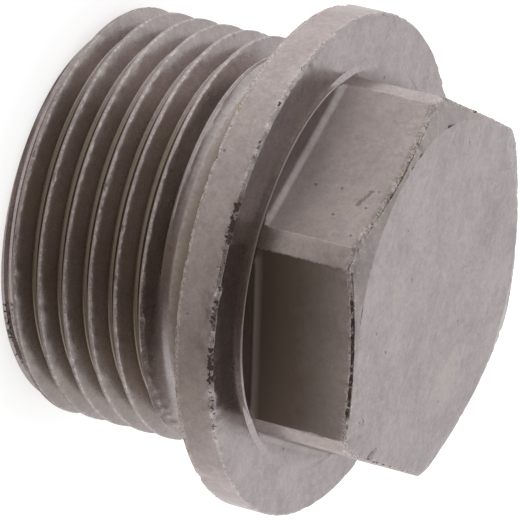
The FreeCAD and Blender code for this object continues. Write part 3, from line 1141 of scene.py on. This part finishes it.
# %% [markdown]
# ## White room
# The plug stands in an even white room. Metal shows whatever stands round it, so in reflections the room's
# ceiling is darker than its walls, and the head's bevel then reads as a bevel. Reflections also see the room
# slightly cool, which takes the brown out of clean steel. To the camera the room is plain white. One broad
# lamp high above gives the floor its soft shadow.

# %% World and lamp
WALL_LEVEL = 1.0
CEILING_LEVEL = 0.60
DIFFUSE_LEVEL = 0.85
WHITE = (1.0, 1.0, 1.0, 1.0)
COOL_WHITE = (0.985, 1.02, 1.045, 1.0)


def white_room():
    """Give the scene a white world whose ceiling is darker in reflections."""
    world = bpy.data.worlds.new("white_room")
    world.use_nodes = True
    tree = world.node_tree
    tree.nodes.clear()
    wire = Wire(tree)
    way = wire.node("ShaderNodeTexCoord", output=0)
    up = wire.node("ShaderNodeSeparateXYZ", None, {"Vector": way}, 2)
    room = WALL_LEVEL - up.step(0.55, 1.0) * (WALL_LEVEL - CEILING_LEVEL)
    seen = wire.node("ShaderNodeLightPath", output="Is Camera Ray")
    mirrored = wire.node("ShaderNodeLightPath", output="Is Glossy Ray")
    through = wire.node("ShaderNodeLightPath", output="Is Transmission Ray")
    shown = mirrored.at_least(through)
    strength = (1 - seen.at_least(shown)) * DIFFUSE_LEVEL + shown * room + seen
    colour = mirrored.tint(WHITE, COOL_WHITE)
    light = wire.node("ShaderNodeBackground", None, {"Color": colour, "Strength": strength})
    output = tree.nodes.new("ShaderNodeOutputWorld")
    tree.links.new(light.socket, output.inputs["Surface"])
    bpy.context.scene.world = world


def soft_lamp(name, azimuth, elevation, distance, side, power):
    """Add a broad square lamp that faces the plug and that no reflection shows."""
    data = bpy.data.lights.new(name, "AREA")
    data.shape = "SQUARE"
    data.size = side
    data.energy = power
    lamp = bpy.data.objects.new(name, data)
    away = direction(math.radians(azimuth), math.radians(elevation))
    lamp.location = away * distance
    lamp.rotation_mode = "QUATERNION"
    lamp.rotation_quaternion = (-away).to_track_quat("-Z", "Y")
    lamp.visible_glossy = False
    bpy.context.scene.collection.objects.link(lamp)


white_room()
soft_lamp("overhead", azimuth=92, elevation=80, distance=0.5, side=0.3, power=0.6)
print("room level", WALL_LEVEL, "ceiling level", CEILING_LEVEL)

# %% [markdown]
# ## Dark cards
# In an all-white room, satin metal looks like grey plaster. Photographers place dark cards where one side
# should fall off. Here one lies on the floor round the front of the plug, and one curves up like a wall on
# the camera's side, as the table and the dark room behind a camera would. A card is a profile of radii and
# heights in millimetres, turned round the plug's axis. It fades out at an azimuth on either side, so the
# metal shows no hard edge. Only reflections see the cards: they are hidden from the camera, from matt
# surfaces and from shadows.

# %% Dark cards
FLOOR_CARD = (
    "floor_card",
    (0.33, 0.293, 0.258, 1.0),
    ((11.3, 0.3), (30.0, 0.3), (70.0, 0.3)),
    ((-115.0, 1.8), (6.0, 0.7)),
)
WALL_CARD = (
    "wall_card",
    (0.18, 0.145, 0.12, 1.0),
    ((70.0, 0.3), (86.0, 12.0), (95.0, 35.0), (98.0, 60.0), (96.0, 85.0), (84.0, 108.0), (60.0, 130.0),
     (30.0, 146.0)),
    ((-120.0, 0.9), (-22.0, 0.5)),
)
CARD_COLUMNS = 64


def card_paint(name, colour, sides):
    """Make the brown of a dark card, which fades out at an azimuth on either side."""
    material, wire, output = start_material(name)
    place = wire.node("ShaderNodeTexCoord", output=3).stretch(1.0, 1.0, 0.0)
    outward = place.node("ShaderNodeVectorMath", {"operation": "NORMALIZE"}, {0: place})
    cover = 1.0
    for (azimuth, softness), turn in zip(sides, (90, -90)):
        across = direction(math.radians(azimuth + turn), 0.0)
        inputs = {0: outward, 1: across}
        inside = outward.node("ShaderNodeVectorMath", {"operation": "DOT_PRODUCT"}, inputs, 1)
        cover = inside.step(-softness, softness) * cover
    clear = wire.node("ShaderNodeBsdfTransparent")
    brown = wire.node("ShaderNodeEmission", None, {"Color": colour, "Strength": 1.0})
    shader = wire.node("ShaderNodeMixShader", None, {0: cover, 1: clear, 2: brown})
    finish_material(wire, output, shader)
    return material


def dark_card(name, colour, profile, sides):
    """Make a card by turning a profile round the plug's axis, hidden from all but reflections."""
    mesh = bmesh.new()
    rows = []
    for radius, height in profile:
        row = []
        for column in range(CARD_COLUMNS):
            around = direction(2 * math.pi * column / CARD_COLUMNS, 0.0)
            row.append(mesh.verts.new((around * radius + Vector((0, 0, height))) * MM))
        rows.append(row)
    for lower, upper in zip(rows, rows[1:]):
        for column in range(CARD_COLUMNS):
            mesh.faces.new((lower[column - 1], lower[column], upper[column], upper[column - 1]))
    data = bpy.data.meshes.new(name)
    mesh.to_mesh(data)
    mesh.free()
    data.materials.append(card_paint(name, colour, sides))
    card = bpy.data.objects.new(name, data)
    card.visible_camera = False
    card.visible_diffuse = False
    card.visible_shadow = False
    bpy.context.scene.collection.objects.link(card)
    return card


for settings in (FLOOR_CARD, WALL_CARD):
    made = dark_card(*settings)
    print(made.name, "faces", len(made.data.polygons))

# %% [markdown]
# ## View transform
# The view transform stays plain, so a colour shows as it was written.

# %% Finish
bpy.context.scene.view_settings.view_transform = "Standard"
